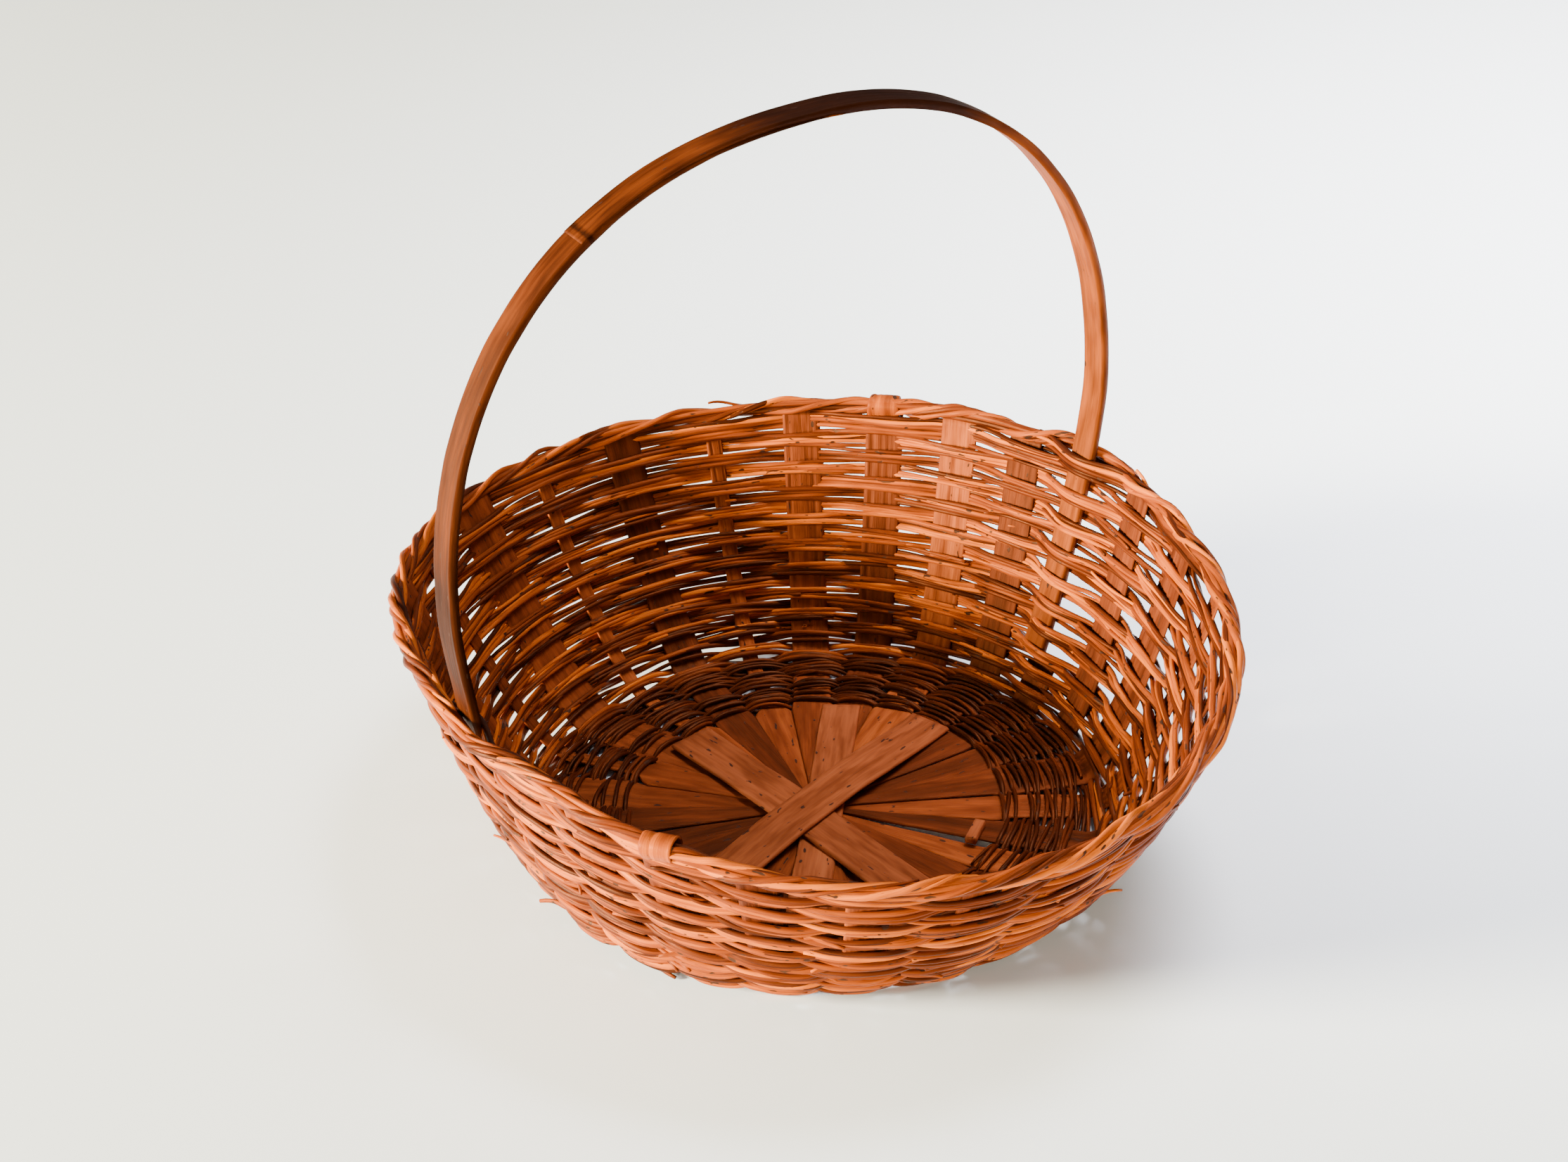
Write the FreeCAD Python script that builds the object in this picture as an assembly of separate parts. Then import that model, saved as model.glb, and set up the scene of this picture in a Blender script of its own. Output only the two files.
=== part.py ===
import FreeCAD, Part
import math
import os

# A round hand-woven basket with one fixed bentwood handle.
# Frame: origin on the floor under the middle of the base, +Z up, +X towards one foot of the handle,
# +Y across the handle. Every length is in millimetres.
#
# How it is woven: flat splints lie like spokes under the base, turn up at its edge and stand as the
# stakes of the wall. Courses of thin rod run round the wall, passing inside one stake and outside the
# next, and a border of two strands is twisted along the rim. The handle's two feet stand in for two of
# the stakes, and three braces cross on top of the spokes.

# ---- the rim and the wall
RIM_RADIUS = 200.0          # mean radius of the rim
RIM_OVAL = -19.4            # the rim is narrower along the handle than across it
RIM_SKEW = -3.1             # and its long axis is turned a little
RIM_HEIGHT = 121.7          # mean height of the rim's middle line
RIM_TILT_X = 6.7            # the rim stands higher at one foot of the handle
RIM_TILT_Y = 3.8            # and a little higher on one side
RIM_SADDLE = 9.9            # both feet of the handle hold the rim up
RIM_SADDLE_SKEW = -2.1
FOOT_RADIUS = 136.0         # where the wall leaves the base
WALL_BEND = 0.63            # below 1 the wall flares low down and stands up near the rim

# ---- the splints that make the spokes and the stakes
STAKE_COUNT = 27
STAKE_PITCH = 2.0 * math.pi / STAKE_COUNT
FIRST_STAKE = STAKE_PITCH / 4.0        # puts two stakes level with each other across the basket
HANDLE_STAKES = (0, 13)                # the two that the handle's feet replace
SPLINT_WIDTH = 16.0
SPLINT_THICK = 1.8
SPOKE_MID_Z = 4.0           # height of the spokes' middle plane
SPOKE_GAP = 0.6             # gap between neighbouring spokes
SPOKE_TIP_RADIUS = 9.0
SPOKE_WIDE_RADIUS = 90.0    # a spoke is widest here
SPOKE_NECK_RADIUS = 96.0    # and from here on it is as wide as the stake
SHORT_STAKE_TOP = 0.16      # share of the wall's height at which the two short stakes end

# ---- the weave
COURSE_COUNT = 20
COURSE_FIRST = 0.032        # place of the first course up the wall, from 0 at the foot to 1 at the rim
COURSE_LAST = 0.948         # and of the last one
COURSE_SPREAD = 1.25        # above 1 the courses lie closer together low down
COURSE_THICK = 3.0          # through the wall
COURSE_FILL = 0.74          # share of the space between two courses that the rods take up
WEAVE_SWING = 2.7           # how far a course swings in or out of the wall's middle surface
HANDLE_SWING = 1.6          # extra swing round the handle's thicker feet
COURSE_START = 1.5 * STAKE_PITCH
COURSE_END_GAP = 0.004      # radians left between the two ends of one course
POINTS_PER_STAKE = 6

# ---- rods woven round the spokes under and over the edge of the base
BASE_RING_FIRST = 94.0      # inner radius of the first ring of rods
BASE_RING_WIDTH = 5.6       # a ring is two rods side by side
BASE_RING_PITCH = 6.8
BASE_ROD_TALL = 2.3
BASE_RINGS_ABOVE = 6
BASE_RINGS_BELOW = 4        # below, the rings are further apart
BASE_PITCH_BELOW = 10.2

# ---- the border
BORDER_STRAND_RADIUS = 2.2
BORDER_TWIST_RADIUS = 2.3
BORDER_TURNS = 16
BORDER_STEPS = 12           # cross sections in each turn
BORDER_SIDES = 6
STAKE_END_DROP = 5.3        # the stakes end this far below the border's middle line

# ---- the handle
HANDLE_Y = 10.2             # the arch stands this far off the centre
HANDLE_LEAN = -0.046        # sideways lean for each millimetre of height
HANDLE_WIDTH = 15.0
HANDLE_THICK = 4.5
HANDLE_REACH = 183.5        # half the arch's greatest span
HANDLE_SHOULDER_Z = 180.0   # height at which the arch is widest
HANDLE_RISE = 195.0         # height of the crown above the shoulder
HANDLE_SQUARENESS = 0.88    # 1 is an ellipse, less is squarer
HANDLE_LEAN_Z = 127.0       # height at which the arch stands HANDLE_Y off the centre
HANDLE_FOOT_Z = 30.0        # the feet end at this height, inside the weave
HANDLE_JOIN_DROP = 9.0      # the legs are in the weave from this far below the border's middle line
HANDLE_INSET = 3.0          # they pull the wall in by this much
HANDLE_LEG_BEND = 1.3       # 1 makes the legs straight between the weave and the shoulder
BORDER_AT_HANDLE = 185.5    # radius at which the border goes round outside the legs
SCARF_START = math.radians(83.0)       # the joint's ends along the arch, from the +X side
SCARF_END = math.radians(123.0)
SCARF_GAP = 0.08            # room left between the two lengths in the joint
SCARF_TIP = 0.5             # a tapered end is this thick

# ---- the braces across the base: name, angle in plan, offset to their left, length, width, thickness
BRACES = (
    ("base_brace_narrow", math.radians(50.0), -5.0, 178.0, 20.0, 1.6),
    ("base_brace_lower", math.radians(95.0), 10.5, 176.0, 25.0, 2.4),
    ("base_brace_upper", math.radians(16.6), -2.4, 180.0, 25.0, 2.4),
)

# ---- the cleat that holds two loose spokes down at the edge of the base
CLEAT_RADIUS = 87.0
CLEAT_ANGLE = math.radians(-54.0)
CLEAT_SIZE = (6.0, 16.0, 4.0)          # along the spoke, across it, thickness

UP = FreeCAD.Vector(0.0, 0.0, 1.0)


def save(name, shape):
    """Check one piece and write it as its own node."""
    if not shape.isValid():
        raise ValueError(name + " is not a valid shape")
    shape.exportStep("parts/" + name + ".step")
    print(name, len(shape.Solids), "solid(s)", round(shape.Volume, 1), "mm3")


def plan_vector(angle, radius, z):
    return FreeCAD.Vector(radius * math.cos(angle), radius * math.sin(angle), z)


def rim_radius(angle):
    """The rim's distance from the centre in plan."""
    return RIM_RADIUS + RIM_OVAL * math.cos(2.0 * angle) + RIM_SKEW * math.sin(2.0 * angle)


def rim_height(angle):
    """The height of the rim's middle line."""
    tilt = RIM_TILT_X * math.cos(angle) + RIM_TILT_Y * math.sin(angle)
    saddle = RIM_SADDLE * math.cos(2.0 * angle) + RIM_SADDLE_SKEW * math.sin(2.0 * angle)
    return RIM_HEIGHT + tilt + saddle


def wall_point(angle, share):
    """Radius and height of the wall's middle surface, at a share of its height from 0 to 1."""
    radius = FOOT_RADIUS + (rim_radius(angle) - FOOT_RADIUS) * share ** WALL_BEND
    height = SPOKE_MID_Z + (rim_height(angle) - SPOKE_MID_Z) * share
    return radius, height


def wall_directions(angle, share):
    """The wall's outward normal and its upward tangent, each as (radial, vertical)."""
    step = 0.01
    low_radius, low_height = wall_point(angle, max(share - step, 0.0))
    high_radius, high_height = wall_point(angle, min(share + step, 1.0))
    run = high_radius - low_radius
    rise = high_height - low_height
    size = math.hypot(run, rise)
    return (rise / size, -run / size), (run / size, rise / size)


def smooth_step(value):
    value = min(max(value, 0.0), 1.0)
    return value * value * (3.0 - 2.0 * value)


def spline_edge(points, closed=False):
    curve = Part.BSplineCurve()
    curve.interpolate(Points=points, PeriodicFlag=closed)
    return curve.toShape()


def strip_solid(centre_line, sides, width, to_world, across):
    """A flat strip that bends in one plane.

    centre_line holds (u, v) points in that plane and sides how far the strip's two faces lie to the
    left of each point. to_world turns (u, v) into a vector, and the width lies along the unit vector
    across.
    """
    faces = ([], [])
    for index, (u, v) in enumerate(centre_line):
        before = centre_line[max(index - 1, 0)]
        after = centre_line[min(index + 1, len(centre_line) - 1)]
        run = after[0] - before[0]
        rise = after[1] - before[1]
        size = math.hypot(run, rise)
        for face, side in zip(faces, sides[index]):
            face.append(to_world(u - rise / size * side, v + run / size * side))
    left, right = faces
    outline = [
        spline_edge(left),
        Part.makeLine(left[-1], right[-1]),
        spline_edge(right),
        Part.makeLine(right[0], left[0]),
    ]
    section = Part.Face(Part.Wire(Part.__sortEdges__(outline)))
    section.translate(across * (-width / 2.0))
    return section.extrude(across * width)


def rail_solid(rails, closed):
    """A long solid whose section has one corner on each rail; a closed one needs no end faces."""
    edges = [spline_edge(rail[:-1] if closed else rail, closed) for rail in rails]
    faces = []
    for index, edge in enumerate(edges):
        faces.append(Part.makeRuledSurface(edge, edges[(index + 1) % len(edges)]))
    if not closed:
        for end in (0, -1):
            corners = [rail[end] for rail in rails]
            faces.append(Part.Face(Part.makePolygon(corners + [corners[0]])))
    shell = Part.makeShell(faces)
    shell.sewShape()
    solid = Part.makeSolid(shell)
    if solid.Volume < 0.0:
        solid.reverse()
    return solid


# ---------------------------------------------------------------- spokes and stakes

def spoke_width(radius):
    """Neighbouring spokes fill the base without touching."""
    return STAKE_PITCH * radius - SPOKE_GAP


def make_spoke(angle):
    """The flat wedge under the base."""
    low_z = SPOKE_MID_Z - SPLINT_THICK / 2.0
    half_outline = (
        (SPOKE_TIP_RADIUS, spoke_width(SPOKE_TIP_RADIUS) / 2.0),
        (SPOKE_WIDE_RADIUS, spoke_width(SPOKE_WIDE_RADIUS) / 2.0),
        (SPOKE_NECK_RADIUS, SPLINT_WIDTH / 2.0),
    )
    corners = [FreeCAD.Vector(radius, -half, low_z) for radius, half in half_outline]
    corners += [FreeCAD.Vector(radius, half, low_z) for radius, half in reversed(half_outline)]
    wedge = Part.Face(Part.makePolygon(corners + [corners[0]])).extrude(UP * SPLINT_THICK)
    wedge.rotate(FreeCAD.Vector(0, 0, 0), UP, math.degrees(angle))
    return wedge


def make_stake(index):
    """One splint: a spoke under the base that turns up and stands in the wall."""
    angle = FIRST_STAKE + index * STAKE_PITCH
    top = SHORT_STAKE_TOP if index in HANDLE_STAKES else 1.0 - STAKE_END_DROP / rim_height(angle)
    centre_line = [(SPOKE_NECK_RADIUS, SPOKE_MID_Z)]
    centre_line += [(SPOKE_NECK_RADIUS + 13.0 * step, SPOKE_MID_Z) for step in (1, 2, 3)]
    wall_steps = 12
    for step in range(1, wall_steps + 1):
        centre_line.append(wall_point(angle, top * (step / wall_steps) ** 1.5))
    radial = plan_vector(angle, 1.0, 0.0)
    across = plan_vector(angle + math.pi / 2.0, 1.0, 0.0)

    def to_world(radius, height):
        return radial * radius + UP * height

    sides = [(SPLINT_THICK / 2.0, -SPLINT_THICK / 2.0)] * len(centre_line)
    strip = strip_solid(centre_line, sides, SPLINT_WIDTH, to_world, across)
    return make_spoke(angle).fuse(strip).removeSplitter()


# ---------------------------------------------------------------- the weave

def course_share(position):
    """Share of the wall's height at a position counted in courses from the bottom."""
    place = COURSE_FIRST + (COURSE_LAST - COURSE_FIRST) * position / (COURSE_COUNT - 1)
    return max(place, 0.0) ** COURSE_SPREAD


def handle_nearness(angle, full, none):
    """1 up to full away from a foot of the handle and 0 from none away, both in stake pitches."""
    nearness = 0.0
    for index in HANDLE_STAKES:
        away = angle - (FIRST_STAKE + index * STAKE_PITCH)
        away = abs(math.atan2(math.sin(away), math.cos(away)))
        nearness = max(nearness, smooth_step((none - away / STAKE_PITCH) / (none - full)))
    return nearness


def weave_offset(angle, turn):
    """How far a course lies outside (+) or inside (-) the wall's middle surface."""
    phase = math.pi * (angle - FIRST_STAKE) / STAKE_PITCH
    side = -min(max(1.7 * math.cos(phase), -1.0), 1.0) * (-1.0) ** turn
    near = handle_nearness(angle, 0.0, 0.6)
    return side * (WEAVE_SWING + HANDLE_SWING * near) - HANDLE_INSET * near


def make_course(turn):
    """One length of the weave: a single turn that climbs by one course as it goes round."""
    steps = STAKE_COUNT * POINTS_PER_STAKE
    half_thick = COURSE_THICK / 2.0
    corners = ((-1, -1), (1, -1), (1, 1), (-1, 1))
    rails = [[] for _ in corners]
    for step in range(steps + 1):
        way = step / steps
        angle = COURSE_START + (2.0 * math.pi - COURSE_END_GAP) * way
        share = course_share(turn + way - 0.5)
        outward, upward = wall_directions(angle, share)
        radius, height = wall_point(angle, share)
        below = wall_point(angle, course_share(turn + way - 1.0))
        above = wall_point(angle, course_share(turn + way))
        half_tall = math.hypot(above[0] - below[0], above[1] - below[1]) * COURSE_FILL / 2.0
        offset = weave_offset(angle, turn)
        for rail, (side_out, side_up) in zip(rails, corners):
            out = offset + side_out * half_thick
            up = side_up * half_tall
            rail_radius = radius + outward[0] * out + upward[0] * up
            rail_height = height + outward[1] * out + upward[1] * up
            rail.append(plan_vector(angle, rail_radius, rail_height))
    return rail_solid(rails, closed=False)


def make_base_weave():
    """Rods round the spokes at the base's edge, a set below them and a set above."""
    rods = []
    above_z = SPOKE_MID_Z + SPLINT_THICK / 2.0
    below_tall = SPOKE_MID_Z - SPLINT_THICK / 2.0
    above = (above_z, BASE_ROD_TALL, BASE_RINGS_ABOVE, BASE_RING_PITCH)
    below = (0.0, below_tall, BASE_RINGS_BELOW, BASE_PITCH_BELOW)
    for low_z, tall, count, pitch in (above, below):
        for index in range(count):
            inner = BASE_RING_FIRST + index * pitch
            outer_disc = Part.makeCylinder(inner + BASE_RING_WIDTH, tall, FreeCAD.Vector(0, 0, low_z))
            inner_disc = Part.makeCylinder(inner, tall, FreeCAD.Vector(0, 0, low_z))
            rods.append(outer_disc.cut(inner_disc))
    return Part.makeCompound(rods)


# ---------------------------------------------------------------- the border

def make_border_strand(start_turn):
    """One of the two strands that twist round each other along the rim."""
    steps = BORDER_TURNS * BORDER_STEPS
    rails = [[] for _ in range(BORDER_SIDES)]
    for step in range(steps + 1):
        way = step / steps
        angle = 2.0 * math.pi * way
        near = handle_nearness(angle, 0.4, 1.1)
        radius = rim_radius(angle) * (1.0 - near) + BORDER_AT_HANDLE * near
        height = rim_height(angle)
        twist = 2.0 * math.pi * (BORDER_TURNS * way + start_turn)
        strand_radius = radius + BORDER_TWIST_RADIUS * math.cos(twist)
        strand_height = height + BORDER_TWIST_RADIUS * math.sin(twist)
        for side, rail in enumerate(rails):
            turn = 2.0 * math.pi * side / BORDER_SIDES
            rail_radius = strand_radius + BORDER_STRAND_RADIUS * math.cos(turn)
            rail_height = strand_height + BORDER_STRAND_RADIUS * math.sin(turn)
            rail.append(plan_vector(angle, rail_radius, rail_height))
    return rail_solid(rails, closed=True)


# ---------------------------------------------------------------- the handle

def handle_leg_line(index):
    """(x, z) points of the leg at one stake, from its foot in the weave up to the arch's shoulder."""
    angle = FIRST_STAKE + index * STAKE_PITCH
    join_z = rim_height(angle) - HANDLE_JOIN_DROP
    line = []
    foot_steps = 6
    for step in range(foot_steps + 1):
        height = HANDLE_FOOT_Z + (join_z - HANDLE_FOOT_Z) * step / foot_steps
        share = (height - SPOKE_MID_Z) / (rim_height(angle) - SPOKE_MID_Z)
        line.append((wall_point(angle, share)[0] * abs(math.cos(angle)) - HANDLE_INSET, height))
    spread = HANDLE_REACH - line[-1][0]
    shoulder_steps = 4
    for step in range(1, shoulder_steps):
        way = step / shoulder_steps
        inward = spread * (1.0 - way) ** HANDLE_LEG_BEND
        line.append((HANDLE_REACH - inward, join_z + (HANDLE_SHOULDER_Z - join_z) * way))
    return line


def handle_arch_point(turn):
    """(x, z) of the arch at an angle that runs from 0 on the +X side to pi on the other."""
    reach = math.copysign(abs(math.cos(turn)) ** HANDLE_SQUARENESS, math.cos(turn))
    return HANDLE_REACH * reach, HANDLE_SHOULDER_Z + HANDLE_RISE * math.sin(turn) ** HANDLE_SQUARENESS


def handle_axes():
    """The arch's plane leans a little, so its height and width directions are tilted."""
    size = math.hypot(1.0, HANDLE_LEAN)
    rise = FreeCAD.Vector(0.0, HANDLE_LEAN / size, 1.0 / size)
    across = FreeCAD.Vector(0.0, 1.0 / size, -HANDLE_LEAN / size)
    return rise, across


def scarf_side(turn):
    """How far inside the strip's middle the surface of the scarf joint lies."""
    way = (turn - SCARF_START) / (SCARF_END - SCARF_START)
    deepest = HANDLE_THICK / 2.0 - SCARF_TIP
    return deepest - 2.0 * deepest * min(max(way, 0.0), 1.0)


def make_handle_length(on_plus_x):
    """One of the two bent lengths: a leg and its part of the arch, tapered where they are joined.

    The length on +X keeps its outer face through the joint, and the other one its inner face.
    """
    rise, across = handle_axes()
    half = HANDLE_THICK / 2.0
    mirror = 1.0 if on_plus_x else -1.0
    last_turn = SCARF_END if on_plus_x else math.pi - SCARF_START
    base = FreeCAD.Vector(0.0, HANDLE_Y - HANDLE_LEAN * HANDLE_LEAN_Z, 0.0)
    line = handle_leg_line(HANDLE_STAKES[0] if on_plus_x else HANDLE_STAKES[1])
    sides = [(half, -half)] * len(line)
    steps = 30
    for step in range(steps + 1):
        own_turn = last_turn * step / steps
        turn = own_turn if on_plus_x else math.pi - own_turn
        line.append(handle_arch_point(own_turn))
        if on_plus_x and turn > SCARF_START:
            sides.append((scarf_side(turn), -half))
        elif not on_plus_x and turn < SCARF_END:
            sides.append((half, scarf_side(turn) + SCARF_GAP))
        else:
            sides.append((half, -half))

    def to_world(x, height):
        return base + FreeCAD.Vector(mirror * x, 0.0, 0.0) + rise * height

    return strip_solid(line, sides, HANDLE_WIDTH, to_world, across)


# ---------------------------------------------------------------- the braces and the cleat

def make_braces():
    """Flat strips stacked where they cross; returns their names and solids."""
    braces = []
    low_z = SPOKE_MID_Z + SPLINT_THICK / 2.0
    for name, angle, offset, length, width, thickness in BRACES:
        corner = FreeCAD.Vector(-length / 2.0, offset - width / 2.0, low_z)
        brace = Part.makeBox(length, width, thickness, corner)
        brace.rotate(FreeCAD.Vector(0, 0, 0), UP, math.degrees(angle))
        braces.append((name, brace))
        low_z += thickness
    return braces


def make_cleat():
    length, width, thickness = CLEAT_SIZE
    low_z = SPOKE_MID_Z + SPLINT_THICK / 2.0
    cleat = Part.makeBox(length, width, thickness, FreeCAD.Vector(CLEAT_RADIUS - length, -width / 2.0, low_z))
    cleat.rotate(FreeCAD.Vector(0, 0, 0), UP, math.degrees(CLEAT_ANGLE))
    return cleat


def main():
    os.makedirs("parts", exist_ok=True)
    for index in range(STAKE_COUNT):
        save("stake_%02d" % (index + 1), make_stake(index))
    for turn in range(COURSE_COUNT):
        save("weave_course_%02d" % (turn + 1), make_course(turn))
    save("base_weave", make_base_weave())
    save("border_strand_a", make_border_strand(0.0))
    save("border_strand_b", make_border_strand(0.5))
    save("handle_length_right", make_handle_length(True))
    save("handle_length_left", make_handle_length(False))
    for name, brace in make_braces():
        save(name, brace)
    save("base_cleat", make_cleat())


main()
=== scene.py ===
import bpy
import math
import numpy as np
from mathutils import Matrix, Vector


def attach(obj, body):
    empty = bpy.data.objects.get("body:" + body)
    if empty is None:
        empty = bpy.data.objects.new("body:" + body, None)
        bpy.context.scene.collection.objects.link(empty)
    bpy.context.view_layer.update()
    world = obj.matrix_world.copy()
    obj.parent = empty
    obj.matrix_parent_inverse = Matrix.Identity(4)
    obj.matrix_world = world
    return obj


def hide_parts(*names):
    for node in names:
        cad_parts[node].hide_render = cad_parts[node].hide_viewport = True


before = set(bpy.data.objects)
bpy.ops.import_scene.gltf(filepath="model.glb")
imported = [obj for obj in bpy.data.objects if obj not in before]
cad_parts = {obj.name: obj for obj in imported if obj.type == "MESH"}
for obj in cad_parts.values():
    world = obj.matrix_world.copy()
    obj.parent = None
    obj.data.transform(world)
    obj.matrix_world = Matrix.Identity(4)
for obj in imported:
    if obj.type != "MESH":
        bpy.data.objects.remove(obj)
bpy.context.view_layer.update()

# Lengths are in millimetres up to the moment a mesh is made, in the same frame as the CAD:
# +X along the handle, +Z up, origin on the floor under the middle of the base.
MM = 0.001
FULL_TURN = 2.0 * math.pi

# ---- the same driving dimensions as the CAD part
RIM_RADIUS = 200.0
RIM_OVAL = -19.4
RIM_SKEW = -3.1
RIM_HEIGHT = 121.7
RIM_TILT_X = 6.7
RIM_TILT_Y = 3.8
RIM_SADDLE = 9.9
RIM_SADDLE_SKEW = -2.1
FOOT_RADIUS = 136.0
WALL_BEND = 0.63
STAKE_COUNT = 27
STAKE_PITCH = FULL_TURN / STAKE_COUNT
FIRST_STAKE = STAKE_PITCH / 4.0
HANDLE_STAKES = (0, 13)
SPLINT_THICK = 1.8
SPOKE_MID_Z = 4.0
COURSE_COUNT = 20
COURSE_FIRST = 0.032
COURSE_LAST = 0.948
COURSE_SPREAD = 1.25
COURSE_START = 1.5 * STAKE_PITCH
HANDLE_Y = 10.2
HANDLE_LEAN = -0.046
HANDLE_WIDTH = 15.0
HANDLE_THICK = 4.5
HANDLE_REACH = 183.5
HANDLE_SHOULDER_Z = 180.0
HANDLE_RISE = 195.0
HANDLE_SQUARENESS = 0.88
HANDLE_LEAN_Z = 127.0
HANDLE_FOOT_Z = 30.0
HANDLE_JOIN_DROP = 9.0
HANDLE_INSET = 3.0
HANDLE_LEG_BEND = 1.3
BORDER_AT_HANDLE = 185.5
SCARF_START = math.radians(83.0)
SCARF_END = math.radians(123.0)

# ---- what only the look needs: splints
SPLINT_WIDTH = 20.0         # a usual stake
NARROW_WIDTH = 8.5          # a stake split down to a thin one
BROAD_WIDTH = 27.0          # a stake left wide
NARROW_STAKES = (5, 7, 9)
BROAD_STAKES = (8, 10, 11, 20, 25)
FOLDED_STAKES = (3, 16)     # their tops are folded over the rim
FOLD_OFF = 5.6              # distance of a fold from the rim's middle line
STAKE_TOP = 0.985           # share of the wall's height that a stake reaches
SHORT_STAKE_TOP = 0.16      # and that the two under the handle's feet reach
SPOKE_INNER = 8.0           # the spokes' inner ends
SPOKE_OUTER = 128.0         # where they start to turn up
SPOKE_SHOULDER = 88.0       # outside this the wedge narrows to the width of the stake
SPOKE_STEP = 100.0          # inside this the spokes leave their common height
SPOKE_OVERLAP = 1.2         # neighbours lie this far over one another
SHRUNK_SPOKES = (22, 23)    # they leave dark gaps beside them
SHRINKAGE = 0.80            # their share of the usual width
SPOKE_LEVELS = (0.0, -1.3, -0.1, -1.0, 0.1, -1.4, -0.4)   # the spokes' heights, one after another
STRIP_COLUMNS = 21          # points across one face of a strip

# ---- rods of the wall
ROD_RADIUS = 1.3
ROD_SIDES = 8
ROD_FLATNESS = 0.08         # how far a rod's section is from round
ROD_STEP = 3.0              # distance between a rod's cross sections
MEAN_RADIUS = 175.0         # turns a rod's length into an angle
LANES = 4                   # rods side by side in one course
MIDDLE_LANE = (LANES - 1) / 2.0
CLOSE_COURSES = 3           # the lowest courses have a rod fewer each, since they lie close together
LANE_SPREAD = 0.24          # distance between rods, as a share of the courses' pitch
LANE_FAN = 0.03             # they fan out by this much more where they pass outside a stake
LANE_SCATTER = 0.25         # how far a rod may lie from its lane
WEAVE_SWING = 2.5           # how far they swing in and out of the wall's middle surface
LOW_SWING = 1.2             # how much further out at the foot of the wall, where they bulge
HANDLE_SWING = 1.2          # how much further round the thick legs of the handle
LOOSE_PLACES = ((153.0, 17.0), (-14.0, 20.0))    # directions and half widths, in degrees
LOOSE_SHIFT = 0.38          # there every other course is this share of a pitch nearer the next
LOWEST_ROD = 1.5            # no rod's middle line is lower
ROD_SHORTEST = 340.0
ROD_LONGEST = 980.0
EXTRA_RODS = 60             # short thin rods laid in between the others
EXTRA_SHORTEST = 120.0
EXTRA_LONGEST = 380.0
EXTRA_SLIMNESS = 0.8
LOOSE_END = 20.0            # length of the stretch at a rod's end that leaves the weave
STRAY_SHARE = 0.16          # share of rod ends that stick out
STRAY_FACTOR = 3.0          # how much further those stand out

# ---- rods woven round the base
BASE_ROWS = 9
BASE_MATES = 3              # rods side by side in one row
BASE_MATE_GAP = 1.35
BASE_INNER = 95.5
BASE_OUTER = 135.5
BASE_ROD_STEP = 2.6
BASE_OVER = 2.5             # how far a rod's middle line passes above that of the spokes
BASE_UNDER = SPOKE_MID_Z - 1.15
BASE_LOWEST = 1.12

# ---- the border
BORDER_CORES = 3
BORDER_CORE_OFF = 1.6       # distance of a core rod from the rim's middle line
BORDER_CORE_RADIUS = 1.7
BORDER_WRAPS = 14
BORDER_WRAP_OFF = 3.1
BORDER_STEP = 2.6
BORDER_END_LIFT = 3.5       # the most that a wrapped rod's end lifts off the roll
BORDER_END_LENGTH = 22.0    # length of the stretch that lifts

# ---- the handle
HANDLE_SAMPLES = 420
HANDLE_SMOOTHINGS = 117     # passes that ease the bends between legs and arch
SCARF_EDGE = 0.9            # thickness left at the thin end of each length
SCARF_GAP = 0.05            # keeps the two faces of the scarf from coinciding

# ---- materials: colours from the darkest to the lightest, and values that the woods share
ROD_COLOURS = ((0.028, 0.0046, 0.0014), (0.115, 0.0185, 0.0034), (0.31, 0.053, 0.0046), (0.60, 0.122, 0.0052))
SPLINT_COLOURS = ((0.036, 0.0066, 0.0022), (0.10, 0.018, 0.0050), (0.20, 0.038, 0.0085), (0.35, 0.074, 0.014))
BOARD_COLOURS = ((0.095, 0.0205, 0.0065), (0.19, 0.043, 0.0130), (0.30, 0.073, 0.0230), (0.40, 0.107, 0.0350))
HANDLE_COLOURS = ((0.016, 0.0032, 0.0008), (0.05, 0.0098, 0.0018), (0.11, 0.022, 0.0034), (0.2, 0.041, 0.006))
WORN_TINT = (0.42, 0.33, 0.30)
DARK_MARK = (0.028, 0.012, 0.008)
WOOD_IOR = 1.35
GLOSS_TINT = (1.0, 0.29, 0.06, 1.0)
GRAIN_REACH = 4000.0        # every rod and strip starts somewhere within this stretch of the pattern
END_GRAIN_SHIFT = 900.0     # a rod's cut ends take their pattern from this far off

# ---- camera and light, in metres
CAMERA_TARGET = Vector((0.0246, 0.0571, 0.100))
CAMERA_AZIMUTH = math.radians(-32.14)
CAMERA_ELEVATION = math.radians(31.28)
CAMERA_DISTANCE = 1.528
CAMERA_ROLL = math.radians(-2.96)
CAMERA_LENS = 70.0
CAMERA_SENSOR = 36.0
LIGHT_TARGET = Vector((0.0, 0.0, 0.08))
WARM_LIGHT = (1.0, 0.95, 0.69)
COOL_LIGHT = (0.96, 0.975, 1.0)
WORLD_STRENGTH = 0.23
WASH_PLACE = (0.95, 0.05, 1.7)
WASH_SPREAD = math.radians(70.0)
FLOOR_COLOUR = (0.90, 0.925, 0.99, 1.0)
FLOOR_ROUGHNESS = 0.7
FLOOR_HALF = 9.0


# ================================================================ shapes shared with the CAD part

def rim_radius(angle):
    return RIM_RADIUS + RIM_OVAL * np.cos(2.0 * angle) + RIM_SKEW * np.sin(2.0 * angle)


def rim_height(angle):
    tilt = RIM_TILT_X * np.cos(angle) + RIM_TILT_Y * np.sin(angle)
    saddle = RIM_SADDLE * np.cos(2.0 * angle) + RIM_SADDLE_SKEW * np.sin(2.0 * angle)
    return RIM_HEIGHT + tilt + saddle


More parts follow.
